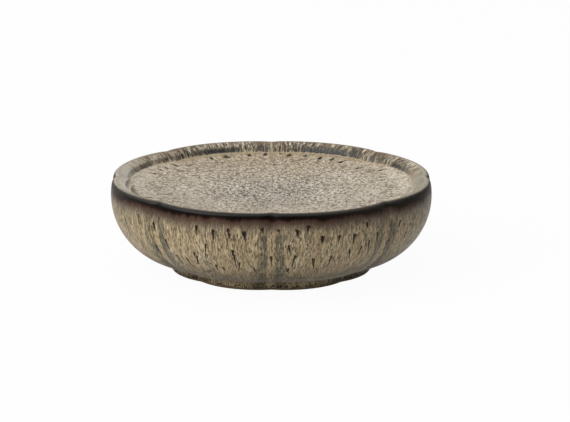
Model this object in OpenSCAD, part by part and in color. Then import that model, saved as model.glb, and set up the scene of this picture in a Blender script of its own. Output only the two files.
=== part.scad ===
// Lobed soy sauce dish: thick stoneware on a foot ring, under a run reactive glaze.
// The origin is the middle of the foot on the table, and a groove between two lobes faces -Y.

/* [Dish] */
// Width across opposite lobes
dish_w = 100; // [88:1:130]
// Height from the table to the crest of the rim
dish_h = 28.2; // [26:0.1:34]
// Number of lobes round the wall
lobe_count = 8; // [6:1:12]
// Distance of each lobe's own upright axis from the axis of the dish
lobe_offset = 11.5; // [6:0.5:15]

/* [Wall] */
// Height of the crest above the widest point of the round wall
belly_drop = 4.6; // [3.7:0.1:8.2]
// Radius of the shoulder that turns the wall over into the crest
shoulder_r = 1.5; // [1:0.1:2.5]
// Width of the level crest between the shoulder and the lip
crest_w = 0.3; // [0.1:0.1:1]

/* [Lip and well] */
// Slope of the lip inside the crest, in degrees
lip_angle = 26; // [15:1:40]
// Width of the lip, from the crest to the edge of the steep wall
lip_w = 2.85; // [2:0.05:5]
// Slope of the steep wall between the lip and the floor, in degrees
steep_angle = 64; // [50:1:80]
// Depth of the middle of the floor below the crest
well_depth = 5.35; // [4.6:0.05:8]
// Radius of curvature of the dished floor
floor_curve_r = 385; // [300:5:600]
// Thickness of the clay under the middle of the floor
floor_t = 7; // [5:0.1:9]

/* [Foot] */
// Width of the foot across opposite lobes
foot_w = 63.6; // [54:0.1:70]
// Height of the foot below the wall
foot_h = 2.601; // [2:0.001:4]
// Width of the ring that stands on the table
foot_ring_w = 5.5; // [4:0.1:8]
// Bevel along the lower outer edge of the foot
foot_edge = 0.5; // [0.2:0.05:1]
// Slope of the recess wall from upright, in degrees
recess_draft = 8; // [2:1:15]
// Bevel in the corner between the recess wall and its ceiling
recess_bevel = 2.5; // [1:0.1:4]

/* [Glaze] */
// Thickness of the coat on the wall, rim, lip and recess
glaze_t = 0.6; // [0.3:0.05:0.8]
// Thickness of the coat that pooled on the floor
pool_t = 0.9; // [0.4:0.05:1.5]
// Thickness of the coat on the foot
foot_glaze_t = 0.4; // [0.2:0.05:0.8]
// Height of the dark band below the crest
band_h = 3; // [2:0.1:5]
// Height of bare clay left above the table
bare_h = 0.6; // [0.3:0.1:1.2]

/* [Hidden] */
// How far a cutting shape passes the surface that it cuts
overrun = 1;
// Share of a lobe's part of the circle that each lobe is carried on into the lobes beside it
lap_share = 0.25;
$fn = 96;
// Facets of the widest arc, whose radius is many times the dish's
floor_facets = 720;

// A lobe is a body of revolution round its own axis. Its profile is drawn from that axis outwards:
// x is the distance from the lobe's axis and y is the height above the table.
lobe_step = 360 / lobe_count;
wall_x = dish_w / 2 - lobe_offset;
foot_x = foot_w / 2 - lobe_offset;
reach = dish_w;

// The belly is one arc, tangent to the plane of the foot's top at its lowest point
belly_z = dish_h - belly_drop;
belly_r = belly_z - foot_h;
belly_x = wall_x - belly_r;
// The shoulder's arc runs inside the belly's and touches it where both have this angle above level
crest_z = dish_h - shoulder_r;
shoulder_angle = asin((crest_z - belly_z) / (belly_r - shoulder_r));
crest_x = belly_x + (belly_r - shoulder_r) * cos(shoulder_angle);
band_z = dish_h - band_h;

floor_z = dish_h - well_depth;
ceiling_z = floor_z - pool_t - floor_t - glaze_t;
recess_r = foot_w / 2 - foot_ring_w;

// A point far out in a direction, given in degrees from +X
function ray(angle) = reach * [cos(angle), sin(angle)];

// The edge between the lip, which starts at the crest, and the steep wall. A coat sets both in, square to
// themselves.
function lip_edge(inset) =
    let (turn = sin(steep_angle - lip_angle))
    [crest_x - lip_w, dish_h - (lip_w - crest_w) * tan(lip_angle)]
        + inset / turn * [cos(lip_angle) - cos(steep_angle), sin(lip_angle) - sin(steep_angle)];

// Repeats a solid lobe round the dish. Each one runs on into its neighbours, where it lies within them, so
// that all join into one solid.
module lobed() {
    spread = (1 / 2 + lap_share) * lobe_step;
    for (lobe = [0 : lobe_count - 1]) {
        middle = (lobe + 1 / 2) * lobe_step;
        intersection() {
            translate(lobe_offset * [cos(middle), sin(middle), 0]) rotate_extrude() children();
            translate([0, 0, -overrun])
                linear_extrude(reach)
                    polygon([[0, 0], ray(middle - spread), ray(middle), ray(middle + spread)]);
        }
    }
}

// The outer half of a disc, between two heights
module half_disc(centre, radius, low_z, high_z) {
    intersection() {
        translate(centre) circle(radius);
        translate([centre.x, low_z]) square([reach, high_z - low_z]);
    }
}

// The outside of the wall, under a surface set in by a coat, filled up to the crest
module wall_profile(inset) {
    base_z = foot_h + inset;
    top_z = dish_h - inset;
    arm = shoulder_r - inset;
    touch_z = crest_z + arm * sin(shoulder_angle);
    half_disc([belly_x, belly_z], belly_r - inset, 0, touch_z);
    half_disc([crest_x, crest_z], arm, touch_z, dish_h);
    translate([0, base_z]) square([belly_x, touch_z - base_z]);
    translate([0, touch_z]) square([crest_x, top_z - touch_z]);
}

// The room inside the lip and the steep wall, from under the floor to above the crest
module funnel_profile(inset) {
    edge = lip_edge(inset);
    low_x = edge.x - (edge.y - ceiling_z) / tan(steep_angle);
    top_z = dish_h + overrun;
    top_x = edge.x + (top_z - edge.y) / tan(lip_angle);
    polygon([[0, ceiling_z], [low_x, ceiling_z], edge, [top_x, top_z], [0, top_z]]);
}

// The side of the foot, drawn from a lobe's axis
module foot_profile(side_x, low_z) {
    translate([0, low_z]) square([side_x, ceiling_z - low_z]);
}

// The room above the dished floor, drawn from the axis of the dish
module dome(inset) {
    rotate_extrude()
        intersection() {
            translate([0, floor_z + floor_curve_r]) circle(floor_curve_r + inset, $fn = floor_facets);
            square(reach);
        }
}

// The room above a height
module above(height) {
    translate([-reach, -reach, height]) cube([2 * reach, 2 * reach, reach]);
}

// The recess inside the foot ring, drawn from the axis of the dish
module recess_profile(inset) {
    taper = tan(recess_draft);
    top_z = ceiling_z + inset;
    low_r = recess_r + inset;
    corner_r = low_r - (top_z - recess_bevel) * taper;
    polygon([[0, -overrun], [low_r + overrun * taper, -overrun], [corner_r, top_z - recess_bevel],
             [corner_r - recess_bevel, top_z], [0, top_z]]);
}

module stoneware_body() {
    color("#b39a78")
        difference() {
            lobed() wall_profile(glaze_t);
            intersection() {
                lobed() funnel_profile(glaze_t);
                dome(pool_t);
            }
            rotate_extrude() recess_profile(glaze_t);
        }
}

// The ring is luted to the underside of the body and stands bare on the table
module foot_ring() {
    side_x = foot_x - foot_glaze_t;
    color("#9c8363")
        difference() {
            lobed()
                polygon([[0, 0], [side_x - foot_edge, 0], [side_x, foot_edge],
                         [side_x, ceiling_z], [0, ceiling_z]]);
            lobed() wall_profile(glaze_t);
            rotate_extrude() recess_profile(glaze_t);
        }
}

module foot_glaze() {
    color("#574f40")
        difference() {
            lobed() foot_profile(foot_x, bare_h);
            lobed() foot_profile(foot_x - foot_glaze_t, 0);
            lobed() wall_profile(glaze_t);
        }
}

module outer_glaze() {
    color("#877961")
        difference() {
            lobed() wall_profile(0);
            lobed() wall_profile(glaze_t);
            lobed() foot_profile(foot_x, 0);
            above(band_z);
        }
}

module rim_glaze() {
    color("#302a27")
        difference() {
            intersection() {
                lobed() wall_profile(0);
                above(band_z);
            }
            lobed() wall_profile(glaze_t);
            lobed() funnel_profile(glaze_t);
        }
}

module lip_glaze() {
    color("#928472")
        difference() {
            intersection() {
                lobed() wall_profile(0);
                lobed() funnel_profile(glaze_t);
                dome(0);
            }
            lobed() funnel_profile(0);
        }
}

// The coat on the floor reaches under the lip's coat, to the clay of the steep wall
module well_glaze() {
    color("#a89f90")
        difference() {
            intersection() {
                lobed() funnel_profile(glaze_t);
                dome(pool_t);
            }
            dome(0);
        }
}

module recess_glaze() {
    color("#8a7d66")
        difference() {
            intersection() {
                rotate_extrude() recess_profile(glaze_t);
                above(bare_h);
            }
            rotate_extrude() recess_profile(0);
        }
}

stoneware_body();
foot_ring();
foot_glaze();
outer_glaze();
rim_glaze();
lip_glaze();
well_glaze();
recess_glaze();
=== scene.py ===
"""Looks of a lobed soy sauce dish: smooth lobed coats of glaze round the packed clay, camera and light."""

import math

import bmesh
import bpy
import numpy as np
from mathutils import Matrix, Vector


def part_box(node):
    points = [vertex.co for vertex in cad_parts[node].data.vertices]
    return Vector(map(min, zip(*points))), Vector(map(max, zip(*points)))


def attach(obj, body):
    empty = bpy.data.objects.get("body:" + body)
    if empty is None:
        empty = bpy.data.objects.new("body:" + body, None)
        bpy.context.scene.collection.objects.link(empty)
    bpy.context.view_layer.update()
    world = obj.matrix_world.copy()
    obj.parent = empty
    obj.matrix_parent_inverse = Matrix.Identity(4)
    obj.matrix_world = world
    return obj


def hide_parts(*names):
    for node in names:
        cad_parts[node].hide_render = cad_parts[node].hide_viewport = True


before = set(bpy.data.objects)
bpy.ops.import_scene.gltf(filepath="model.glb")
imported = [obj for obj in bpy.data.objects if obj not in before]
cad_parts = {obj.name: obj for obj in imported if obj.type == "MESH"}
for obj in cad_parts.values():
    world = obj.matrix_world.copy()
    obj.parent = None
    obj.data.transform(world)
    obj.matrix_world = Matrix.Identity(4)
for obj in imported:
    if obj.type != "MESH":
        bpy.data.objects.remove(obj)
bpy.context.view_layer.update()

# Sizes are in millimetres, in the frame of the CAD, where nothing else is said. The boxes of the nodes give
# the heights and widths, and the other sizes of the profile are the CAD's own.
MM = 0.001


def low(node):
    """Lowest corner of a node's box."""
    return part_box(node)[0] / MM


def high(node):
    """Highest corner of a node's box."""
    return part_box(node)[1] / MM


LOBES = 8
LOBE_STEP = 2 * math.pi / LOBES
LOBE_OFFSET = 11.5
# A lobe points half a step off the X axis, so the box shows a little less than its radius
BOX_SHORT = LOBE_OFFSET * (1 - math.cos(LOBE_STEP / 2))
DISH_R = high("outer_glaze").x + BOX_SHORT
FOOT_R = high("foot_glaze").x + BOX_SHORT
CREST_Z = high("lip_glaze").z
BAND_Z = low("rim_glaze").z
BARE_Z = low("foot_glaze").z
CEILING_Z = high("recess_glaze").z
FOOT_H = 2.6
FOOT_RING_W = 5.5
BELLY_DROP = 4.6
SHOULDER_R = 1.5
LIP_ANGLE = math.radians(26)
LIP_W = 2.85
STEEP_ANGLE = math.radians(64)
WELL_DEPTH = 5.35
FLOOR_CURVE_R = 385.0
RECESS_DRAFT = math.radians(8)
# Thickness of the coats on the wall and lip, on the foot and on the floor
COAT_T = 0.5
FOOT_COAT_T = 0.35
POOL_T = 0.8
# How far the glaze fills the groove between two lobes
GROOVE_FILL = 0.3
# Depth and half width of the pinch that each groove leaves in the rim, and the heights where it fades out
PINCH = 0.54
PINCH_W = 1.7
PINCH_LOW = 17.0
PINCH_HIGH = 25.0
# Roundings of the lip's edge, of the floor's edge, above the foot, in the recess and of the bare clay
EDGE_ROUND = 1.0
POOL_ROUND = 1.3
FOOT_ROUND = 1.7
RECESS_ROUND = 2.5
CLAY_ROUND = 0.6
# Length of the belly's arc that the hollow above the foot takes up, as a share of the hollow's rounding
HOLLOW_SHARE = 1.1
# Top of the hollow in the foot, under its coat
RECESS_TOP = CEILING_Z - COAT_T
# How far the foot's coat ends above its lowest edge, and the share of its height where its bead starts
BEAD_WANDER = 0.3
BEAD_SHARE = 0.75
# The coat's unevenness round the dish, sideways and in height, and the turn in radians between the two
UNEVEN_R = 0.08
UNEVEN_Z = 0.1
UNEVEN_TURN = 11.5
# Waves round the dish, each with its count, its phase in radians and its share
UNEVEN_WAVES = ((3, 0.4, 0.5), (5, 2.1, 0.3), (11, 4.0, 0.2))
BEAD_WAVES = ((9, 0.7, 0.4), (17, 2.6, 0.35), (41, 1.1, 0.25))

# Gloss of the run glaze on the wall, on the rim, where it lies thick, and where it is driest
RUN_SPECULAR = 0.16
RIM_SPECULAR = 0.28
DRY_SPECULAR = 0.03
# Gloss of the other coats and of the clay
LIP_SPECULAR = 0.18
WELL_SPECULAR = 0.26
RECESS_SPECULAR = 0.35
CLAY_SPECULAR = 0.25
# Depth of the relief in each
RUN_BUMP = 0.14
LIP_BUMP = 0.12
WELL_BUMP = 0.14
RECESS_BUMP = 0.06
CLAY_BUMP = 0.15

# Stretches of the glaze: where each starts to show, and where it shows in full. Outside, they are measured
# from the crest down: the wall below the dark band
WALL_RUN = (5, 8)
# Denser grains high on the wall
DENSE_RUN = (13, 7)
# The darker and drier lower wall
LOW_WALL_RUN = (17, 28)
DRY_RUN = (16, 26)
# The foot, and both edges of the dark hem near its bottom
FOOT_RUN = (33.2, 34.6)
HEM_START = (36.6, 37.0)
HEM_END = (37.7, 37.3)
# The dark band and the glossy shoulder in it
BAND_FADE = (8.4, 4.0)
SHOULDER_RUN = (1.9, 1.0)
# The right half of the band, from the axis, where a grey sheen is painted
SHEEN_X = (6, 32)
# The pools on the lip, from the grooves and from the crest down
POOL_FROM_GROOVE = (8.5, 13.5)
POOL_DOWN = (2.6, 4.4)
# The lip's last line by the floor, from the crest down
FLOOR_EDGE_DOWN = (4.6, 5.1)
# The floor's grey middle, its rays, its crackle and the painted shade at its edge, from the axis
MIDDLE_R = (27, 8)
OUTER_R = (29, 37)
CALM_R = (42, 36)
CORNER_SHADE_R = (40.6, 42.4)
# The browner back of the floor
BACK_Y = (8, 40)

# Half the floor's width in metres, its grey and the share of plain white in it
FLOOR_HALF = 20.0
FLOOR_GREY = 0.65
FLOOR_WHITE = 0.96
# Strength of the surround
SKY = 0.16
# Lamps: degrees to the right of the front and above level, distance and size in metres, and watts
LAMPS = (("top_box", -90, 78, 1.8, (3.4, 3.4), 40.0),
         ("left_box", -62, 35, 2.4, (1.8, 1.8), 48.0),
         ("front_box", -10, 10, 2.4, (3.0, 0.8), 12.0))
# Camera: its lens and sensor, its place and nearest sight in metres, and its turns in radians
LENS = 177.7
SENSOR_W = 36.0
CAMERA_AT = (0, -0.8414, 0.2296)
CLIP_START = 0.05
CAMERA_PAN = math.radians(-0.288)
CAMERA_TILT = math.radians(75.81)
CAMERA_ROLL = 0.003

# Columns of a mesh round the dish, a whole number for each lobe
COLUMNS = LOBES * 80
ANGLES = np.arange(COLUMNS) * 2 * math.pi / COLUMNS
# Points on the stretches of the profile
SHOULDER_POINTS = 22
BELLY_POINTS = 100
LIP_POINTS = 8
STEEP_POINTS = 5
ROUND_POINTS = 9
FLOOR_ROWS = 72
FOOT_ROWS = 12
CLAY_POINTS = 4
RECESS_WALL_POINTS = 20
RECESS_TURN_POINTS = 12
RECESS_TOP_POINTS = 24
# Points on the hidden backs of the coats
RIM_BACK = 8
BELLY_BACK = 20
LIP_BACK = 12
FOOT_BACK = 3
RECESS_BACK = 16
# An edge that turns more than this stays sharp
SHARP_TURN = math.radians(35)
# How far a spot's tail leans to a side, as a share of its length, and how much thinner and fainter it gets
SPOT_LEAN = 0.2
TAIL_THIN = 0.65
TAIL_FAINT = 0.4
# How much slimmer, and longer, the spots of a list are drawn
DROP_SLIM = 0.88
DASH_SLIM = 0.85
# Radius at which lengths round the dish are measured in the glaze's own coordinates
FLOW_R = 45.0


# Lines of the profile, as points of radius and height

def arc(centre, radius, start, end, count):
    """Points on an arc, with angles in radians above level."""
    angles = np.linspace(start, end, count)
    return np.array(centre) + radius * np.stack([np.cos(angles), np.sin(angles)], 1)


def line(start, end, count):
    """Points on a straight line, both ends included."""
    share = np.linspace(0, 1, count)[:, None]
    return np.array(start) * (1 - share) + np.array(end) * share


def rounded(before, corner, after, radius, count=ROUND_POINTS):
    """The arc that rounds a corner."""
    before, corner, after = (np.array(p, float) for p in (before, corner, after))
    back = (before - corner) / np.linalg.norm(before - corner)
    ahead = (after - corner) / np.linalg.norm(after - corner)
    half = math.acos(back @ ahead) / 2
    middle = (back + ahead) / np.linalg.norm(back + ahead)
    centre = corner + middle * radius / math.sin(half)
    first, last = (corner + side * radius / math.tan(half) - centre for side in (back, ahead))
    start = math.atan2(first[1], first[0])
    turn = math.atan2(last[1], last[0]) - start
    turn = (turn + math.pi) % (2 * math.pi) - math.pi
    return arc(centre, radius, start, start + turn, count)


def joined(*runs):
    """Runs of points as one line, without the doubled points where they meet."""
    points = np.concatenate(runs)
    keep = np.concatenate([[True], np.linalg.norm(np.diff(points, axis=0), axis=1) > 1e-4])
    return points[keep]


def lengths(points):
    """Length of a line from its start to each of its points."""
    return np.concatenate([[0], np.cumsum(np.linalg.norm(np.diff(points, axis=0), axis=1))])


def cut(points, flow, start, end):
    """The stretch of a line between two lengths, and the length at each of its points."""
    at = np.concatenate([[start], flow[(flow > start + 1e-6) & (flow < end - 1e-6)], [end]])
    return np.stack([np.interp(at, flow, points[:, 0]), np.interp(at, flow, points[:, 1])], 1), at


def set_back(points, depth, keep):
    """The line a depth to the right of another one's way, with a few of its points, walked back."""
    along = np.gradient(points, axis=0)
    along /= np.linalg.norm(along, axis=1)[:, None]
    moved = points + depth * np.stack([along[:, 1], -along[:, 0]], 1)
    return moved[np.unique(np.linspace(0, len(points) - 1, keep).astype(int))][::-1]


def floor_height(radius):
    """Height of the dished floor at a distance from the axis."""
    return CREST_Z - WELL_DEPTH + radius ** 2 / (2 * FLOOR_CURVE_R)


BELLY_Z = CREST_Z - BELLY_DROP
BELLY_R = BELLY_Z - FOOT_H
BELLY = (DISH_R - BELLY_R, BELLY_Z)
SHOULDER_TURN = math.asin((BELLY_DROP - SHOULDER_R) / (BELLY_R - SHOULDER_R))
SHOULDER = (BELLY[0] + (BELLY_R - SHOULDER_R) * math.cos(SHOULDER_TURN), CREST_Z - SHOULDER_R)
BELLY_LOW = -math.acos((FOOT_R - BELLY[0]) / BELLY_R)
# The belly's arc stops short of the foot, where the glaze ran into a hollow
HOLLOW_TURN = BELLY_LOW + FOOT_ROUND * HOLLOW_SHARE / BELLY_R

shoulder_arc = arc(SHOULDER, SHOULDER_R, math.pi / 2, SHOULDER_TURN, SHOULDER_POINTS)
belly_arc = arc(BELLY, BELLY_R, SHOULDER_TURN, HOLLOW_TURN, BELLY_POINTS)
foot_corner = arc(BELLY, BELLY_R, BELLY_LOW, BELLY_LOW, 1)[0]
hollow_arc = rounded(belly_arc[-1], foot_corner, (FOOT_R, 0), FOOT_ROUND)
OUTSIDE = joined(shoulder_arc, belly_arc, hollow_arc)
OUTSIDE_FLOW = lengths(OUTSIDE)
# The coat of the foot takes over halfway round the hollow
FOOT_FLOW = float(np.interp(-hollow_arc[len(hollow_arc) // 2][1], -OUTSIDE[:, 1], OUTSIDE_FLOW))

lip_arc = arc(SHOULDER, SHOULDER_R, math.pi / 2, math.pi / 2 + LIP_ANGLE, LIP_POINTS)
LIP_EDGE = lip_arc[-1] - (lip_arc[-1][0] - SHOULDER[0] + LIP_W) * np.array([1, math.tan(LIP_ANGLE)])
steep_run = (LIP_EDGE[1] - floor_height(LIP_EDGE[0])) / math.tan(STEEP_ANGLE)
FLOOR_EDGE = np.array([LIP_EDGE[0] - steep_run, floor_height(LIP_EDGE[0] - steep_run)])
floor_ahead = FLOOR_EDGE - LIP_W * np.array([1, FLOOR_EDGE[0] / FLOOR_CURVE_R])
edge_arc = rounded(lip_arc[-1], LIP_EDGE, FLOOR_EDGE, EDGE_ROUND)
pool_arc = rounded(LIP_EDGE, FLOOR_EDGE, floor_ahead, POOL_ROUND)
INSIDE = joined(lip_arc, line(lip_arc[-1], edge_arc[0], LIP_POINTS), edge_arc,
                line(edge_arc[-1], pool_arc[0], STEEP_POINTS), pool_arc)
INSIDE_FLOW = -lengths(INSIDE)


# Meshes

def lobed(radius, angle):
    """Distance from the axis to a lobed surface whose lobes reach the radius, with filled grooves."""
    off = np.abs((angle % LOBE_STEP) - LOBE_STEP / 2)

    def reach(turn):
        aside = LOBE_OFFSET * np.sin(turn)
        return LOBE_OFFSET * np.cos(turn) + np.sqrt((radius - LOBE_OFFSET) ** 2 - aside ** 2)

    near, far = reach(off), reach(LOBE_STEP - off)
    return near + np.maximum(GROOVE_FILL - (near - far), 0) ** 2 / (4 * GROOVE_FILL)


def uneven(angle):
    """A slow change round the dish, from -1 to 0, as a coat dipped by hand has."""
    return sum(share * (np.sin(count * angle + phase) - 1) / 2 for count, phase, share in UNEVEN_WAVES)


def ring(point, lobe_share=1.0, settle=1.0):
    """A point of the profile carried round the dish, with a share of the lobes and of the unevenness."""
    radius, z = point
    out = radius + settle * UNEVEN_R * uneven(ANGLES)
    if lobe_share:
        out = out * (1 - lobe_share) + lobe_share * lobed(out, ANGLES)
        rise = min(max((z - PINCH_LOW) / (PINCH_HIGH - PINCH_LOW), 0), 1)
        beside = (LOBE_STEP / 2 - np.abs((ANGLES % LOBE_STEP) - LOBE_STEP / 2)) * radius
        out = out - PINCH * rise * np.exp(-(beside / PINCH_W) ** 2)
    near_crest = min(max(1 - (CREST_Z - z) / WELL_DEPTH, 0), 1)
    height = z + settle * near_crest * UNEVEN_Z * uneven(ANGLES + UNEVEN_TURN)
    return np.stack([out * np.cos(ANGLES), out * np.sin(ANGLES), height * np.ones(COLUMNS)], 1)


def new_piece(name, node, rows, flow, closed=True):
    """A closed smooth mesh through rows of points round the dish, where a row of one point is a pole."""
    starts = np.concatenate([[0], np.cumsum([len(row) for row in rows])])
    pairs = [(i, i + 1) for i in range(len(rows) - 1)] + ([(len(rows) - 1, 0)] if closed else [])
    faces = []
    for a, b in pairs:
        for i in range(COLUMNS):
            k = (i + 1) % COLUMNS
            if len(rows[a]) == 1:
                faces.append((starts[a], starts[b] + k, starts[b] + i))
            elif len(rows[b]) == 1:
                faces.append((starts[a] + i, starts[a] + k, starts[b]))
            else:
                faces.append((starts[a] + i, starts[a] + k, starts[b] + k, starts[b] + i))
    mesh = bpy.data.meshes.new(name)
    mesh.from_pydata((np.concatenate(rows) * MM).tolist(), [], faces)
    work = bmesh.new()
    work.from_mesh(mesh)
    bmesh.ops.recalc_face_normals(work, faces=work.faces)
    work.to_mesh(mesh)
    work.free()
    mesh.polygons.foreach_set("use_smooth", [True] * len(mesh.polygons))
    mesh.set_sharp_from_angle(angle=SHARP_TURN)
    values = np.concatenate([np.full(len(row), length) for row, length in zip(rows, flow)])
    mesh.attributes.new("flow", "FLOAT", "POINT").data.foreach_set("value", values.astype(np.float32))
    piece = bpy.data.objects.new(name, mesh)
    bpy.context.scene.collection.objects.link(piece)
    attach(piece, "root")
    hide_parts(node)
    return piece


def coat(name, node, visible, flow, hidden):
    """A band of glaze: its visible line, and the line behind it that closes it."""
    rows = [ring(point) for point in visible] + [ring(point, settle=0) for point in hidden]
    return new_piece(name, node, rows, list(flow) + [flow[-1]] * len(hidden))


def outer_coats():
    """The dark band under the crest and the coat on the belly, down into the hollow above the foot."""
    band_flow = float(np.interp(-BAND_Z, -OUTSIDE[:, 1], OUTSIDE_FLOW))
    rim_line, rim_flow = cut(OUTSIDE, OUTSIDE_FLOW, 0, band_flow)
    belly_line, belly_flow = cut(OUTSIDE, OUTSIDE_FLOW, band_flow, FOOT_FLOW)
    rim = coat("rim_glaze_coat", "rim_glaze", rim_line, rim_flow,
               set_back(rim_line, COAT_T, RIM_BACK))
    belly = coat("outer_glaze_coat", "outer_glaze", belly_line, belly_flow,
                 set_back(belly_line, COAT_T, BELLY_BACK))
    return rim, belly


def lip_coat():
    """The coat from the crest over the lip and the steep wall into the edge of the floor."""
    return coat("lip_glaze_coat", "lip_glaze", INSIDE, INSIDE_FLOW,
                set_back(INSIDE, -COAT_T, LIP_BACK))


def well_coat():
    """The coat that pooled on the dished floor, from the lip's last line to the middle."""
    edge = ring(INSIDE[-1])
    reach = np.hypot(edge[:, 0], edge[:, 1])
    rows, flow = [], []
    for share in np.linspace(1, 0, FLOOR_ROWS)[:-1]:
        # The edge's unevenness is gone well before the middle
        height = floor_height(share * reach) + share ** 3 * (edge[:, 2] - floor_height(reach))
        rows.append(np.stack([share * edge[:, 0], share * edge[:, 1], height], 1))
        flow.append(INSIDE_FLOW[-1] - (1 - share) * INSIDE[-1][0])
    rows.append(np.array([[0, 0, floor_height(0)]]))
    flow.append(INSIDE_FLOW[-1] - INSIDE[-1][0])
    under = [row - (0, 0, POOL_T) for row in rows]
    return new_piece("well_glaze_coat", "well_glaze", rows[::-1] + under, flow[::-1] + flow,
                     closed=False)


def foot_coat():
    """The coat from the hollow down the foot's side, which ends in an uneven bead above the bare clay."""
    hollow, flow = cut(OUTSIDE, OUTSIDE_FLOW, FOOT_FLOW, OUTSIDE_FLOW[-1])
    start_z = hollow[-1][1]
    wander = sum(share * np.sin(count * ANGLES + phase) for count, phase, share in BEAD_WAVES)
    edge_z = BARE_Z + BEAD_WANDER * (1 + wander) / 2
    rows, flow = [ring(point) for point in hollow], list(flow)
    for share in np.linspace(0, 1, FOOT_ROWS)[1:]:
        bead = max(share - BEAD_SHARE, 0) / (1 - BEAD_SHARE)
        row = ring((FOOT_R - FOOT_COAT_T * (1 - math.sqrt(1 - bead ** 2)), start_z))
        row[:, 2] = start_z + share * (edge_z - start_z)
        rows.append(row)
        flow.append(OUTSIDE_FLOW[-1] + share * (start_z - BARE_Z))
    back = [ring((FOOT_R - FOOT_COAT_T, start_z), settle=0)]
    back[0][:, 2] = edge_z
    back += [ring(point, settle=0) for point in set_back(hollow, FOOT_COAT_T, FOOT_BACK)]
    return new_piece("foot_glaze_coat", "foot_glaze", rows + back,
                     flow + [flow[-1]] * len(back))


def foot_clay():
    """The bare ring of clay on the table, with worn edges, up to the coats that reach down to it."""
    side_r = FOOT_R - FOOT_COAT_T
    inner_r = FOOT_R - FOOT_RING_W
    top_r = inner_r - FOOT_H * math.tan(RECESS_DRAFT)
    outline = joined(rounded((side_r, FOOT_H), (side_r, 0), (inner_r, 0), CLAY_ROUND),
                     rounded((side_r, 0), (inner_r, 0), (top_r, FOOT_H), CLAY_ROUND))
    outline = joined(line((side_r, FOOT_H), outline[0], CLAY_POINTS), outline,
                     line(outline[-1], (top_r, FOOT_H), CLAY_POINTS))
    lobe_shares = (outline[:, 0] - top_r) / (side_r - top_r)
    rows = [ring(point, share, settle=0) for point, share in zip(outline, lobe_shares)]
    return new_piece("foot_ring_clay", "foot_ring", rows, [0.0] * len(rows))


def recess_coat():
    """The coat in the hollow of the foot, which ends a little above the table."""
    taper = math.tan(RECESS_DRAFT)
    low_r = FOOT_R - FOOT_RING_W - BARE_Z * taper
    corner = (FOOT_R - FOOT_RING_W - RECESS_TOP * taper, RECESS_TOP)
    foot = (low_r, BARE_Z)
    turn = rounded(foot, corner, (0, RECESS_TOP), RECESS_ROUND, RECESS_TURN_POINTS)
    side = joined(line(foot, turn[0], RECESS_WALL_POINTS), turn,
                  line(turn[-1], (RECESS_ROUND, RECESS_TOP), RECESS_TOP_POINTS))
    behind = set_back(side, COAT_T / 2, RECESS_BACK)
    pole = np.array([[0, 0, RECESS_TOP]])
    rows = [pole] + [ring(point, 0, 0) for point in side[::-1]]
    rows += [ring(point, 0, 0) for point in behind[::-1]] + [pole + (0, 0, COAT_T / 2)]
    flow = lengths(np.concatenate([[(0, RECESS_TOP)], side[::-1]]))
    flow = list(flow) + [flow[-1]] * (len(rows) - len(flow))
    return new_piece("recess_glaze_coat", "recess_glaze", rows, flow, closed=False)


# Materials

def rgb(red, green, blue):
    """A colour from its usual values, 0 to 255."""
    shares = (value / 255 for value in (red, green, blue))
    return tuple(c / 12.92 if c < 0.04045 else ((c + 0.055) / 1.055) ** 2.4 for c in shares) + (1.0,)


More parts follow.
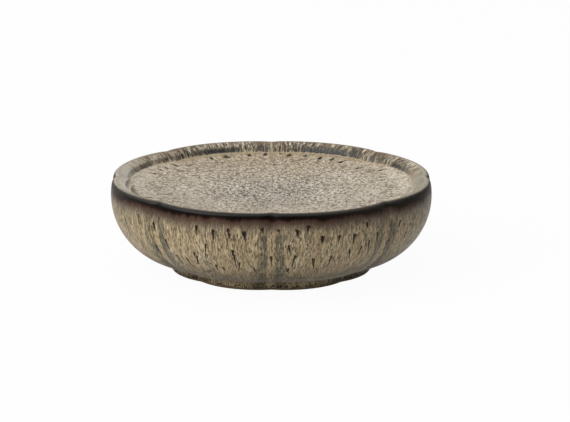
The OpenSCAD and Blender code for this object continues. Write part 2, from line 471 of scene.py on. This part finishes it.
class Graph:
    """The nodes of a material or of a node group, written as expressions."""

    def __init__(self, name, group=False):
        if group:
            self.tree = bpy.data.node_groups.new(name, "ShaderNodeTree")
        else:
            self.material = bpy.data.materials.new(name)
            self.material.use_nodes = True
            self.tree = self.material.node_tree
            self.shader = self.tree.nodes["Principled BSDF"]

    def put(self, socket, value):
        if isinstance(value, bpy.types.NodeSocket):
            self.tree.links.new(value, socket)
        else:
            socket.default_value = value

    def node(self, kind, *inputs, **settings):
        made = self.tree.nodes.new(kind)
        for key, value in settings.items():
            setattr(made, key, value)
        for socket, value in zip(made.inputs, inputs):
            if value is not None:
                self.put(socket, value)
        return made

    def math(self, operation, *values):
        return self.node("ShaderNodeMath", *values, operation=operation).outputs[0]

    def add(self, *values):
        total = values[0]
        for value in values[1:]:
            total = self.math("ADD", total, value)
        return total

    def times(self, *values):
        total = values[0]
        for value in values[1:]:
            total = self.math("MULTIPLY", total, value)
        return total

    def minus(self, a, b):
        return self.math("SUBTRACT", a, b)

    def opposite(self, value):
        return self.math("SUBTRACT", 1.0, value)

    def spread(self, value, amount):
        """A texture's value about zero instead of a half, made larger."""
        return self.math("MULTIPLY_ADD", value, 2 * amount, -amount)

    def step(self, value, start, end):
        """Smoothly from 0 at the start to 1 at the end, or the other way where the end is less."""
        flip = start > end
        limits = (end, start, 1.0, 0.0) if flip else (start, end, 0.0, 1.0)
        return self.node("ShaderNodeMapRange", value, *limits, interpolation_type="SMOOTHSTEP").outputs[0]

    def stretched(self, place, *scales):
        return self.node("ShaderNodeVectorMath", place, scales, operation="MULTIPLY").outputs[0]

    def noise(self, place, scales, detail=2.0, rough=0.5, warp=0.0):
        made = self.node("ShaderNodeTexNoise", self.stretched(place, *scales))
        for key, value in (("Scale", 1.0), ("Detail", detail), ("Roughness", rough), ("Distortion", warp)):
            made.inputs[key].default_value = value
        return made.outputs[0]

    def cells(self, place, scales, feature="F1"):
        made = self.node("ShaderNodeTexVoronoi", self.stretched(place, *scales), feature=feature)
        made.inputs["Scale"].default_value = 1.0
        return made.outputs[0]

    def grains(self, place, scales):
        """A chance value for each small cell of the surface."""
        made = self.node("ShaderNodeTexVoronoi", self.stretched(place, *scales))
        made.inputs["Scale"].default_value = 1.0
        return self.node("ShaderNodeSeparateColor", made.outputs["Color"]).outputs[0]

    def ramp(self, value, *stops):
        made = self.node("ShaderNodeValToRGB", value)
        elements = made.color_ramp.elements
        while len(elements) < len(stops):
            elements.new(0.5)
        for element, (at, colour) in zip(elements, stops):
            element.position = at
            element.color = rgb(*colour)
        return made.outputs[0]

    def mix(self, share, under, over):
        made = self.node("ShaderNodeMix", share, data_type="RGBA")
        self.put(made.inputs[6], under if isinstance(under, bpy.types.NodeSocket) else rgb(*under))
        self.put(made.inputs[7], over if isinstance(over, bpy.types.NodeSocket) else rgb(*over))
        return made.outputs[2]

    def finish(self, colour, roughness, height, depth, specular):
        self.put(self.shader.inputs["Base Color"], colour)
        self.put(self.shader.inputs["Roughness"], roughness)
        self.put(self.shader.inputs["Specular IOR Level"], specular)
        bump = self.node("ShaderNodeBump")
        bump.inputs["Strength"].default_value = 1.0
        bump.inputs["Distance"].default_value = depth * MM
        self.put(bump.inputs["Height"], height)
        self.put(self.shader.inputs["Normal"], bump.outputs[0])
        return self.material


class Place:
    """Where a point lies on the dish, in millimetres and degrees."""

    def __init__(self, g):
        self.point = g.stretched(g.node("ShaderNodeTexCoord").outputs["Object"], *[1 / MM] * 3)
        self.x, self.y, self.z = g.node("ShaderNodeSeparateXYZ", self.point).outputs
        self.level = g.stretched(self.point, 1, 1, 0)
        self.radius = g.node("ShaderNodeVectorMath", self.level, operation="LENGTH").outputs["Value"]
        self.run = g.node("ShaderNodeAttribute", attribute_name="flow").outputs["Fac"]
        sine = g.math("DIVIDE", self.x, self.radius)
        cosine = g.math("DIVIDE", self.y, self.radius)
        self.flow = g.node("ShaderNodeCombineXYZ", g.times(sine, FLOW_R), g.times(cosine, FLOW_R),
                           self.run).outputs[0]
        self.turn = g.times(g.math("ARCSINE", sine), math.degrees(1))
        self.facing = cosine
        share = g.math("FRACT", g.math("MULTIPLY_ADD", g.math("ARCTAN2", self.y, self.x), 1 / LOBE_STEP, 0.5))
        self.groove = g.times(g.math("ABSOLUTE", g.minus(share, 0.5)), LOBE_STEP, self.radius)


# Places of the larger spots: degrees from the middle of the front, run down the wall, width and tail in mm.
# The same spots lie on the far side, in a mirror.
WALL_SPOTS = ((-53, 6.2, 0.5, 2.2), (-46, 7.4, 0.5, 2.2), (-42.8, 5.2, 0.5, 1.4), (-28.3, 14.4, 0.5, 2.0),
              (-26, 5.6, 0.65, 2.4), (-19.7, 6.6, 0.65, 2.4), (-14.7, 5.6, 0.6, 2.4), (-13.4, 12.4, 0.5, 1.6),
              (-9.3, 6.4, 0.8, 2.2), (-3, 5.4, 0.8, 0.9), (2.4, 5.6, 0.5, 0.5),
              (8.7, 5.8, 0.65, 1.6), (12.8, 4.8, 0.7, 1.4), (17.5, 8.2, 0.8, 1.8), (23.7, 8.4, 0.65, 2.0),
              (29.7, 8.8, 0.65, 2.2), (34.7, 5.8, 0.65, 1.2), (51.3, 7.4, 0.5, 1.8), (59.6, 6.8, 0.5, 1.8))
# Thin dashes lower on the wall, where the run glaze parted
WALL_DASHES = ((-62, 9, 0.5, 2.6), (-47, 15, 0.45, 3.2), (-40.5, 12, 0.5, 3.0), (-37, 17, 0.4, 3.4),
               (-32.6, 17.5, 0.4, 3.2), (-27.5, 15.8, 0.45, 3.0), (-23, 11, 0.4, 3.4),
               (-20.6, 18.8, 0.5, 1.6), (-18.2, 19.6, 0.45, 1.4), (-13, 14, 0.4, 4.0), (-11.4, 17, 0.4, 3.2),
               (-6.5, 19.5, 0.5, 1.2), (0, 14.5, 0.45, 3.6),
               (6, 10.5, 0.4, 2.4), (8.4, 14.2, 0.45, 3.6), (6.3, 19.6, 0.5, 1.2), (15, 15.6, 0.5, 3.4),
               (21.6, 15, 0.4, 3.4), (28.5, 13.5, 0.45, 2.6), (33.4, 13, 0.5, 3.4), (36.5, 11.5, 0.4, 3.8),
               (40, 9.5, 0.5, 2.2), (47, 13, 0.45, 3.2), (56, 12, 0.45, 3.0), (66, 9, 0.5, 2.4))
# The same on the floor near its edge, with the distance from the axis in place of the run
FLOOR_SPOTS = ((-67, 39.6, 0.6, 2.2), (-59.5, 40.2, 0.6, 2.0), (-55, 40, 0.6, 2.0), (-49, 39.4, 0.6, 2.4),
               (-44, 37.4, 0.5, 2.0), (-28, 40.4, 0.7, 2.0), (-20.5, 40.6, 1.1, 1.8), (-10, 41, 0.9, 1.6),
               (-2.8, 41.2, 1.0, 1.4), (4, 41.8, 0.5, 1.0), (7.8, 40.6, 1.0, 1.8), (15.5, 40.8, 0.7, 1.6),
               (22.8, 39.8, 0.9, 2.0), (28.8, 40, 0.8, 2.0), (34.6, 38.6, 0.8, 2.4), (48.3, 36.4, 0.6, 2.4),
               (58.8, 40, 0.7, 2.2))


def spot_group():
    """One teardrop over others: 1 on it and 0 off it, with a blunt head and a leaning tail that fades."""
    g = Graph("spot", group=True)
    for name in ("turn", "radius", "down", "wobble", "at", "start", "width", "tail", "lean", "others"):
        g.tree.interface.new_socket(name, in_out="INPUT", socket_type="NodeSocketFloat")
    g.tree.interface.new_socket("value", in_out="OUTPUT", socket_type="NodeSocketFloat")
    turn, radius, down, wobble, at, start, width, tail, lean, others = g.node("NodeGroupInput").outputs[:10]
    along = g.math("DIVIDE", g.minus(down, start), tail)
    inside = g.node("ShaderNodeClamp", along, 0.0, 1.0).outputs[0]
    side = g.add(g.times(g.minus(turn, at), radius, math.radians(1)), wobble, g.times(inside, lean))
    off = g.times(g.minus(along, inside), tail)
    reach = g.math("SQRT", g.add(g.times(side, side), g.times(off, off)))
    size = g.times(width, g.math("MULTIPLY_ADD", inside, -TAIL_THIN, 1.0))
    one = g.times(g.step(g.math("DIVIDE", reach, size), 1.3, 0.5),
                  g.math("MULTIPLY_ADD", inside, -TAIL_FAINT, 1.0))
    g.node("NodeGroupOutput", g.math("MAXIMUM", others, one))
    return g.tree


SPOT = spot_group()


def spots(g, place, down, places, wobble, slim=1.0):
    """All teardrops of a list: 1 on a drop and 0 off it. Each leans its own way."""
    total = 0.0
    for turn, start, width, tail in places:
        width, tail = width * slim, tail / slim
        lean = SPOT_LEAN * tail * math.sin(7 * turn)
        total = g.node("ShaderNodeGroup", place.turn, place.radius, down, wobble, turn, start, width, tail,
                       lean, total, node_tree=SPOT).outputs[0]
    return total


class RunTextures:
    """What the parts of the run glaze share: textures drawn out down the wall, and places on the dish."""

    def __init__(self, g, p):
        self.slow = g.noise(p.flow, (0.22, 0.22, 0.12), 2)
        self.broad = g.noise(p.flow, (0.2, 0.2, 0.03), 2)
        self.streak = g.noise(p.flow, (0.7, 0.7, 0.07), 3, 0.6)
        self.cream = g.noise(p.flow, (1.5, 1.5, 0.2), 3, 0.65)
        self.grain = g.noise(p.flow, (2.8, 2.8, 0.5), 2, 0.7)
        self.fine = g.grains(p.flow, (3.6, 3.6, 1.0))
        self.ragged = g.add(g.spread(self.streak, 0.4), g.spread(self.cream, 0.5), g.spread(self.grain, 0.45))
        # From 0 in front and behind to 1 at both ends, where the second one rises late
        self.side = g.opposite(g.times(p.facing, p.facing))
        self.ends = g.times(self.side, self.side, self.side)
        # Run down the wall with a ragged front, for the band
        self.edge = g.add(p.run, g.times(self.side, -0.3), g.spread(self.slow, 1.4),
                          g.spread(self.streak, 0.7), g.spread(self.grain, 0.4))
        # The thin coat along a groove, and the thick one on both sides of it
        self.groove = g.add(p.groove, g.spread(self.streak, 0.9), g.spread(self.slow, 0.9),
                            g.spread(self.cream, 0.6))
        wall = g.step(p.run, *WALL_RUN)
        self.core = g.times(g.step(self.groove, 1.6, 0.8), wall)
        self.flank = g.times(g.step(self.groove, 0.9, 1.6),
                             g.step(g.add(self.groove, g.spread(self.slow, 2.0)), 5.0, 2.8), wall)
        crowd = g.add(g.spread(self.streak, 0.28), g.spread(self.broad, 0.14), g.times(self.flank, 0.08),
                      g.times(self.core, -0.03), g.times(g.step(p.run, *DENSE_RUN), 0.06))
        self.dots = g.step(g.add(self.grain, crowd, g.spread(self.fine, 0.16)), 0.5, 0.64)
        self.pins = g.step(self.fine, 0.88, 0.94)


def wall_colour(g, p, t):
    """Buff streaks under olive grains, tan along each groove and green beside it, darker lower down, and
    painted shade at both ends.
    """
    tone = g.add(0.5, g.spread(t.cream, 0.7), g.spread(t.streak, 0.6), g.spread(t.broad, 0.3),
                 g.spread(t.fine, 0.2))
    colour = g.ramp(tone, (0.2, (132, 115, 87)), (0.5, (172, 152, 118)), (0.8, (200, 184, 152)))
    colour = g.mix(g.times(t.core, 0.35), colour, (178, 152, 114))
    patchy = g.step(g.add(t.slow, g.spread(t.cream, 0.4)), 0.25, 0.55)
    colour = g.mix(g.times(t.flank, patchy, 0.85), colour, (98, 95, 78))
    colour = g.mix(g.times(t.dots, 0.76), colour, (66, 62, 49))
    colour = g.mix(g.times(t.pins, 0.6), colour, (56, 50, 39))
    light_pins = g.step(t.fine, 0.1, 0.05)
    colour = g.mix(g.times(light_pins, 0.3), colour, (210, 197, 168))
    lower = g.step(g.add(p.run, g.spread(t.slow, 3), g.spread(t.streak, 4)), *LOW_WALL_RUN)
    colour = g.mix(g.times(lower, 0.78), colour, g.mix(t.dots, (98, 87, 66), (63, 56, 43)))
    # Painted shade: the wall is darkened towards both ends, where it turns aside
    return g.mix(g.times(t.ends, 0.14), colour, (62, 56, 45))


def with_foot(g, p, t, colour):
    """The foot below the wall, with painted light: pale in front, where the belly shades it, and darker at
    both ends; dark beside the grooves, with a broken hem near the clay.
    """
    # Painted light and shade: the foot, from the hollow above it down, is paler in front, where the belly
    # shades it, and darker at both ends, where the side lamp falls on it
    front = g.mix(t.dots, (184, 167, 134), (104, 93, 74))
    ends = g.mix(t.dots, (118, 106, 85), (78, 70, 55))
    flank = g.times(g.step(t.groove, 1.2, 2.0), g.step(t.groove, 6.0, 3.5), 0.6)
    foot = g.step(g.add(p.run, g.spread(t.slow, 0.8)), *FOOT_RUN)
    colour = g.mix(g.times(foot, 0.85), colour, g.mix(flank, g.mix(t.side, front, ends), (74, 68, 54)))
    hem = g.add(p.run, g.spread(t.slow, 1.2), g.spread(t.cream, 1.2))
    hem = g.times(g.step(hem, *HEM_START), g.step(hem, *HEM_END))
    return g.mix(g.times(hem, g.step(t.cream, 0.38, 0.55), 0.9), colour, (40, 33, 25))


def with_band(g, p, t, colour):
    """The dark band under the crest: black in front and behind, with a painted grey sheen at the ends and on
    the right half, fading downwards.
    """
    band = g.ramp(g.times(t.edge, 0.1), (0.18, (7, 4, 3)), (0.25, (26, 13, 10)), (0.3, (60, 42, 35)),
                  (0.39, (82, 65, 53)), (0.5, (106, 92, 74)), (0.7, (140, 126, 102)))
    # Painted sheen: a grey reflection over the band at both ends and on its right half
    painted_sheen = g.ramp(g.times(t.edge, 0.1), (0.1, (66, 62, 55)), (0.24, (48, 42, 37)), (0.34, (72, 60, 53)),
                  (0.5, (116, 103, 85)), (0.7, (144, 130, 106)))
    sheen_share = g.math("MAXIMUM", g.times(t.ends, 0.9), g.times(g.step(p.x, *SHEEN_X), 0.4))
    band = g.mix(sheen_share, band, painted_sheen)
    grains = g.times(g.math("MAXIMUM", t.dots, t.pins), g.step(t.edge, 2.6, 4.2), 0.7)
    band = g.mix(grains, band, (58, 50, 41))
    share = g.step(g.add(t.edge, g.spread(t.cream, 1.8), g.spread(t.fine, 0.7)), *BAND_FADE)
    return g.mix(share, colour, band)


def run_gloss(g, p, t):
    """Most on the thick glaze of the shoulder, and least on the iron-black below it and the lower wall."""
    shoulder = g.step(p.run, *SHOULDER_RUN)
    black = g.times(g.opposite(shoulder), g.step(t.edge, 4.6, 3.2))
    dry = g.step(p.run, *DRY_RUN)
    return g.add(RUN_SPECULAR, g.times(shoulder, RIM_SPECULAR - RUN_SPECULAR),
                 g.times(g.math("MAXIMUM", black, dry), DRY_SPECULAR - RUN_SPECULAR))


def run_glaze(name):
    """The run glaze outside: near black under the crest, red-brown below it, then buff with olive grains."""
    g = Graph(name)
    p = Place(g)
    t = RunTextures(g, p)
    colour = with_foot(g, p, t, wall_colour(g, p, t))
    dashes = spots(g, p, p.run, WALL_DASHES, g.times(t.ragged, 0.6), DASH_SLIM)
    colour = g.mix(g.times(g.step(dashes, 0.05, 0.4), 0.95), colour, (44, 30, 21))
    colour = with_band(g, p, t, colour)
    # A drop has a brown rim round a near black core
    drops = spots(g, p, g.add(p.run, t.ragged), WALL_SPOTS, t.ragged, DROP_SLIM)
    colour = g.mix(g.times(g.step(drops, 0.05, 0.5), 0.8), colour, (96, 72, 52))
    colour = g.mix(g.step(drops, 0.35, 0.8), colour, (30, 18, 15))
    # The coat is thin along the crest, and most so at both ends
    bare = g.math("MULTIPLY_ADD", g.step(p.groove, 3.0, 0.5), -0.3, -0.6)
    crest = g.step(g.add(p.run, g.times(bare, t.ends), g.spread(t.cream, 0.3)), 0.7, -0.1)
    colour = g.mix(crest, colour, g.mix(t.ends, (124, 113, 96), (166, 158, 142)))
    roughness = g.math("MULTIPLY_ADD", g.step(p.run, 5.0, 2.4), -0.04, 0.44)
    height = g.add(t.cream, g.times(t.dots, -0.25), g.times(drops, -0.4))
    height = g.times(height, g.step(t.edge, 2.5, 5))
    return g.finish(colour, roughness, height, RUN_BUMP, run_gloss(g, p, t))


class LipTextures:
    """What the layers of the lip's coat share: streaks down the lip, and places on the dish."""

    def __init__(self, g, p):
        self.down = g.times(p.run, -1.0)
        self.slow = g.noise(p.flow, (0.18, 0.18, 0.18), 2)
        self.patch = g.noise(p.flow, (0.12, 0.12, 0.05), 1)
        self.streak = g.noise(p.flow, (1.9, 1.9, 0.25), 3, 0.7)
        self.broad = g.noise(p.flow, (0.4, 0.4, 0.1), 2)
        self.grain = g.grains(p.flow, (2.4, 2.4, 0.9))
        # The front and back, then with the lobes beside the back, those lobes alone, and all the rest
        self.across = g.step(g.math("ABSOLUTE", p.facing), 0.3, 0.85)
        self.ran = g.math("MAXIMUM", self.across, g.step(p.facing, 0.1, 0.5))
        self.beside = g.minus(self.ran, self.across)
        self.ends = g.opposite(self.across)


def lip_cream(g, p, t):
    """Streaks from cream to brown, strong where the glaze ran furthest, with painted light: paler to the
    left, which faces the lamp, and darker to the right.
    """
    fade = g.math("MULTIPLY_ADD", t.ran, 0.7, 0.4)
    # Painted light: the tone rises to the left, which faces the lamp, and falls to the right
    painted_light_slope = g.math("MULTIPLY_ADD", t.ran, 0.0045, -0.0075)
    shade = g.times(g.step(t.down, 0.6, 4.0), -0.1, t.across)
    tone = g.add(0.81, g.times(g.spread(t.streak, 1.1), fade), g.times(g.spread(t.broad, 0.2), fade),
                 g.times(g.spread(t.grain, 0.16), fade), g.times(t.across, -0.48), g.times(p.x, painted_light_slope), shade,
                 g.times(t.beside, -0.2))
    return g.ramp(tone, (0.1, (58, 54, 48)), (0.3, (108, 98, 82)), (0.5, (150, 138, 117)),
                  (0.66, (182, 171, 150)), (0.9, (206, 198, 180)), (1.0, (218, 212, 197)))


def with_pools(g, p, t, colour):
    """Blue-black pools low on the lobes, dark strokes on the lobes beside the back, and painted light low on
    the lip at the left.
    """
    depth = g.add(t.down, g.spread(t.streak, 4.0), g.spread(t.broad, 1.0), g.spread(t.slow, 0.6))
    lobe = g.step(g.add(p.groove, g.spread(t.patch, 2.5)), *POOL_FROM_GROOVE)
    pool = g.times(g.step(depth, *POOL_DOWN), lobe, t.ran)
    pool = g.times(pool, g.math("MULTIPLY_ADD", g.step(t.streak, 0.4, 0.56), 0.5, 0.45))
    colour = g.mix(pool, colour, (36, 42, 49))
    # Painted light: the low lip at the left end, which faces away from the lamp, is made paler
    pale = g.times(g.step(t.down, 2.4, 3.2), g.step(p.x, -10, -35), g.opposite(t.ran), 0.3)
    colour = g.mix(pale, colour, (236, 229, 213))
    strokes = g.step(g.add(g.noise(p.flow, (1.0, 1.0, 0.2), 2), g.spread(t.streak, 0.2)), 0.48, 0.58)
    strokes = g.times(strokes, g.step(g.add(t.down, g.spread(t.broad, 1.5)), 1.4, 2.4), t.beside)
    return g.mix(g.times(strokes, 0.85), colour, (64, 60, 49))


def lip_glaze(name):
    """The coat inside the crest: cream and brown, with fine streaks that run down into dark pools."""
    g = Graph(name)
    p = Place(g)
    t = LipTextures(g, p)
    colour = with_pools(g, p, t, lip_cream(g, p, t))
    # Painted shade: a dark line on the steep wall under the lip's edge at the left of the front
    lip_edge_painted_shade = g.times(g.step(t.down, 2.9, 3.3), g.step(t.down, 4.3, 3.7), t.ends, g.step(p.x, 0, -30),
                       g.step(p.facing, 0.1, -0.2))
    colour = g.mix(g.times(lip_edge_painted_shade, 0.7), colour, (62, 56, 48))
    # Red-brown stains near the crest, most of them at the grooves
    stain = g.add(g.spread(g.noise(p.flow, (0.3, 0.3, 0.08), 2), 1.0), g.times(g.step(p.groove, 9, 2), 0.3))
    stain = g.times(g.step(stain, 0.05, 0.3), g.step(t.down, 3.0, 0.8))
    colour = g.mix(g.times(stain, g.math("MULTIPLY_ADD", t.across, 0.4, 0.25)), colour, (104, 76, 59))
    # Painted sheen: a grey gloss over the right end of the lip
    grey = g.times(g.step(p.x, 15, 40), t.ends, g.step(p.facing, 0.25, -0.05), 0.45)
    colour = g.mix(grey, colour, (146, 147, 138))
    left_end = g.times(g.step(p.x, -32, -41), g.step(p.facing, -0.3, 0.0), t.ends,
                       g.math("MULTIPLY_ADD", g.step(t.streak, 0.38, 0.58), 0.3, 0.05))
    colour = g.mix(left_end, colour, (120, 104, 86))
    # Paler lines along the grooves and the crest, and a last line at the edge of the floor
    colour = g.mix(g.times(g.step(p.groove, 0.5, 0.15), 0.5), colour, (190, 178, 156))
    crest = g.step(g.add(t.down, g.spread(t.streak, 0.3)), 1.0, 0.0)
    colour = g.mix(crest, colour, g.mix(t.across, (166, 158, 142), (120, 109, 92)))
    # Painted shade in the crease where the lip meets the floor in front and behind, and painted light at the
    # ends, palest at the left
    floor_edge = g.step(g.add(t.down, g.spread(t.streak, 0.8)), *FLOOR_EDGE_DOWN)
    end_colour = g.mix(g.step(p.x, -20, 20), (214, 203, 183), (172, 160, 140))
    colour = g.mix(floor_edge, colour, g.mix(t.across, end_colour, (158, 141, 114)))
    roughness = g.math("MULTIPLY_ADD", t.streak, 0.1, 0.22)
    return g.finish(colour, roughness, g.add(t.streak, g.times(t.grain, 0.1)), LIP_BUMP, LIP_SPECULAR)


def well_glaze(name):
    """The pooled coat on the floor: cream with a grey crackle of specks, and rays near its edge."""
    g = Graph(name)
    p = Place(g)
    slow = g.noise(p.level, (0.09, 0.09, 0.09), 2)
    mottle = g.noise(p.level, (0.5, 0.5, 0.5), 3, 0.65)
    grain = g.noise(p.level, (1.0, 1.0, 1.0), 2, 0.65)
    fine = g.noise(p.level, (2.2, 2.2, 2.2), 2, 0.7)
    ray = g.noise(p.flow, (0.9, 0.9, 0.22), 3, 0.6)
    warp = g.node("ShaderNodeTexNoise", g.stretched(p.level, 0.6, 0.6, 0.6))
    moved = g.stretched(warp.outputs["Color"], 2.5, 2.5, 0)
    bent = g.node("ShaderNodeVectorMath", p.level, moved, operation="ADD").outputs[0]
    colour = g.ramp(g.add(0.55, g.spread(slow, 0.3), g.spread(mottle, 0.55), g.spread(fine, 0.75)),
                    (0.2, (178, 166, 146)), (0.5, (216, 205, 186)), (0.8, (234, 226, 210)))
    reach = g.add(p.radius, g.spread(slow, 9))
    middle = g.step(reach, *MIDDLE_R)
    colour = g.mix(g.times(g.step(p.y, *BACK_Y), 0.55), colour, (178, 158, 126))
    # Brown strokes, then the crackle with its specks, which is densest and greyest in the middle
    strokes = g.step(g.add(g.noise(p.level, (1.3, 1.3, 1.3), 1), g.spread(mottle, 0.15)), 0.53, 0.62)
    colour = g.mix(g.times(strokes, 0.7), colour, (112, 99, 80))
    net = g.step(g.cells(bent, (0.54, 0.54, 0.54), "DISTANCE_TO_EDGE"), 0.16, 0.03)
    net = g.times(net, g.step(mottle, 0.42, 0.54))
    specks = g.step(g.add(grain, g.spread(fine, 0.5), g.times(middle, 0.03)), 0.54, 0.62)
    calm = g.step(p.radius, *CALM_R)
    web = g.times(g.math("MAXIMUM", net, specks), g.math("MULTIPLY_ADD", middle, 0.14, 0.76),
                  g.math("MULTIPLY_ADD", calm, 0.6, 0.4))
    colour = g.mix(web, colour, g.mix(middle, (82, 71, 55), (62, 65, 66)))
    rays = g.times(g.step(g.add(ray, g.spread(grain, 0.2)), 0.5, 0.62), g.step(reach, *OUTER_R))
    colour = g.mix(g.times(rays, 0.6), colour, (112, 96, 74))
    # Painted shade at the floor's edge: brown in front and behind, where the floor meets the wall, and a
    # darker painted shadow beside the lip at both ends of the front
    corner_shade = g.times(g.step(g.add(p.radius, g.spread(ray, 1.5)), *CORNER_SHADE_R),
                   g.step(g.math("ABSOLUTE", p.facing), 0.4, 0.9))
    colour = g.mix(g.times(corner_shade, 0.5), colour, (136, 117, 90))
    # Painted shadow: the step beside the lip darkens the floor's edge at the left and right of the front
    inward = g.minus(float(INSIDE_FLOW[-1]), p.run)
    edge_painted_shadow = g.times(g.step(g.math("MULTIPLY_ADD", p.facing, 2.6, inward), 1.3, 0.7),
                   g.step(p.facing, 0.0, -0.15), g.step(p.facing, -0.6, -0.4), g.step(p.x, 90, -30))
    colour = g.mix(g.times(edge_painted_shadow, 0.75), colour, (100, 89, 72))
    drops = spots(g, p, p.radius, FLOOR_SPOTS, g.spread(fine, 1.2))
    colour = g.mix(g.step(drops, 0.15, 0.7), colour, (40, 34, 28))
    roughness = g.math("MULTIPLY_ADD", grain, 0.12, 0.28)
    height = g.add(g.times(mottle, 0.4), g.times(web, -0.4))
    return g.finish(colour, roughness, height, WELL_BUMP, WELL_SPECULAR)


def recess_glaze(name):
    """A thinner, calmer coat of the same glaze in the hollow of the foot."""
    g = Graph(name)
    p = Place(g)
    slow = g.noise(p.point, (0.12, 0.12, 0.12), 3)
    grain = g.noise(p.point, (2.4, 2.4, 2.4), 3, 0.65)
    tone = g.add(0.5, g.spread(slow, 0.4), g.spread(grain, 0.45))
    colour = g.ramp(tone, (0.2, (92, 80, 62)), (0.5, (138, 124, 99)), (0.8, (170, 156, 129)))
    edge = g.step(g.add(p.z, g.spread(slow, 0.8)), 1.6, 0.7)
    colour = g.mix(g.times(edge, 0.7), colour, (74, 58, 44))
    roughness = g.math("MULTIPLY_ADD", grain, 0.12, 0.26)
    return g.finish(colour, roughness, grain, RECESS_BUMP, RECESS_SPECULAR)


def clay(name):
    """Bare fired stoneware: tan, gritty, with dark specks and a toasted edge towards the glaze."""
    g = Graph(name)
    p = Place(g)
    slow = g.noise(p.point, (0.2, 0.2, 0.2), 3)
    grit = g.noise(p.point, (3.2, 3.2, 3.2), 3, 0.7)
    tone = g.add(0.5, g.spread(slow, 0.4), g.spread(grit, 0.5))
    colour = g.ramp(tone, (0.2, (126, 100, 72)), (0.5, (172, 146, 112)), (0.8, (198, 176, 144)))
    specks = g.step(g.cells(p.point, (0.8, 0.8, 0.8)), 0.2, 0.1)
    colour = g.mix(g.times(specks, 0.6), colour, (78, 60, 45))
    toast = g.step(g.add(p.z, g.spread(slow, 0.5)), -0.05, 0.3)
    colour = g.mix(g.times(toast, 0.8), colour, (84, 68, 51))
    roughness = g.math("MULTIPLY_ADD", grit, 0.1, 0.78)
    return g.finish(colour, roughness, grit, CLAY_BUMP, CLAY_SPECULAR)


# Stage, light and camera

def stage():
    """A wide white floor, which shows as white and keeps a faint shadow."""
    mesh = bpy.data.meshes.new("floor")
    corners = [(x * FLOOR_HALF, y * FLOOR_HALF, 0) for x, y in ((-1, -1), (1, -1), (1, 1), (-1, 1))]
    mesh.from_pydata(corners, [], [(0, 1, 2, 3)])
    floor = bpy.data.objects.new("floor", mesh)
    bpy.context.scene.collection.objects.link(floor)
    g = Graph("floor_white")
    g.tree.nodes.remove(g.shader)
    paths = g.node("ShaderNodeLightPath").outputs
    mirrored = g.math("MAXIMUM", paths["Is Glossy Ray"], paths["Is Transmission Ray"])
    seen = g.math("MAXIMUM", paths["Is Camera Ray"], mirrored)
    plain = g.node("ShaderNodeBsdfDiffuse", (FLOOR_GREY, FLOOR_GREY, FLOOR_GREY, 1.0)).outputs[0]
    white = g.node("ShaderNodeEmission", (1.0, 1.0, 1.0, 1.0), 1.0).outputs[0]
    both = g.node("ShaderNodeMixShader", g.times(seen, FLOOR_WHITE), plain, white).outputs[0]
    g.tree.links.new(both, g.tree.nodes["Material Output"].inputs["Surface"])
    mesh.materials.append(g.material)


def soft_box(name, azimuth, elevation, distance, size, power):
    """A rectangular lamp that faces the dish."""
    lamp = bpy.data.lights.new(name, "AREA")
    lamp.shape = "RECTANGLE"
    lamp.size, lamp.size_y = size
    lamp.energy = power
    item = bpy.data.objects.new(name, lamp)
    turn, rise = math.radians(azimuth), math.radians(elevation)
    away = Vector((math.sin(turn) * math.cos(rise), -math.cos(turn) * math.cos(rise), math.sin(rise)))
    item.location = away * distance
    item.rotation_euler = away.to_track_quat("Z", "Y").to_euler()
    bpy.context.scene.collection.objects.link(item)


def sky():
    """A soft even surround."""
    world = bpy.data.worlds.new("studio")
    world.use_nodes = True
    bpy.context.scene.world = world
    back = world.node_tree.nodes["Background"]
    back.inputs["Color"].default_value = (1, 1, 1, 1)
    back.inputs["Strength"].default_value = SKY


def camera():
    """A long lens straight in front and a little above."""
    lens = bpy.data.cameras.new("camera")
    lens.sensor_fit = "HORIZONTAL"
    lens.sensor_width = SENSOR_W
    lens.lens = LENS
    lens.clip_start = CLIP_START
    item = bpy.data.objects.new("camera", lens)
    item.matrix_world = (Matrix.Translation(CAMERA_AT) @ Matrix.Rotation(CAMERA_PAN, 4, "Z")
                         @ Matrix.Rotation(CAMERA_TILT, 4, "X") @ Matrix.Rotation(CAMERA_ROLL, 4, "Z"))
    bpy.context.scene.collection.objects.link(item)
    bpy.context.scene.camera = item


def dress(piece, material):
    """Gives a piece its one material."""
    piece.data.materials.clear()
    piece.data.materials.append(material)


rim, belly = outer_coats()
outer_run = run_glaze("outer_glaze_run")
rim_run, foot_run = outer_run.copy(), outer_run.copy()
rim_run.name, foot_run.name = "rim_glaze_run", "foot_glaze_run"
dress(rim, rim_run)
dress(belly, outer_run)
dress(foot_coat(), foot_run)
dress(lip_coat(), lip_glaze("lip_glaze_streaks"))
dress(well_coat(), well_glaze("well_glaze_pool"))
dress(recess_coat(), recess_glaze("recess_glaze_thin"))
dress(foot_clay(), clay("bare_clay"))
body_clay = clay("body_clay")
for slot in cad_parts["stoneware_body"].material_slots:
    slot.material = body_clay

stage()
sky()
for lamp in LAMPS:
    soft_box(*lamp)
camera()
bpy.context.scene.view_settings.view_transform = "Standard"
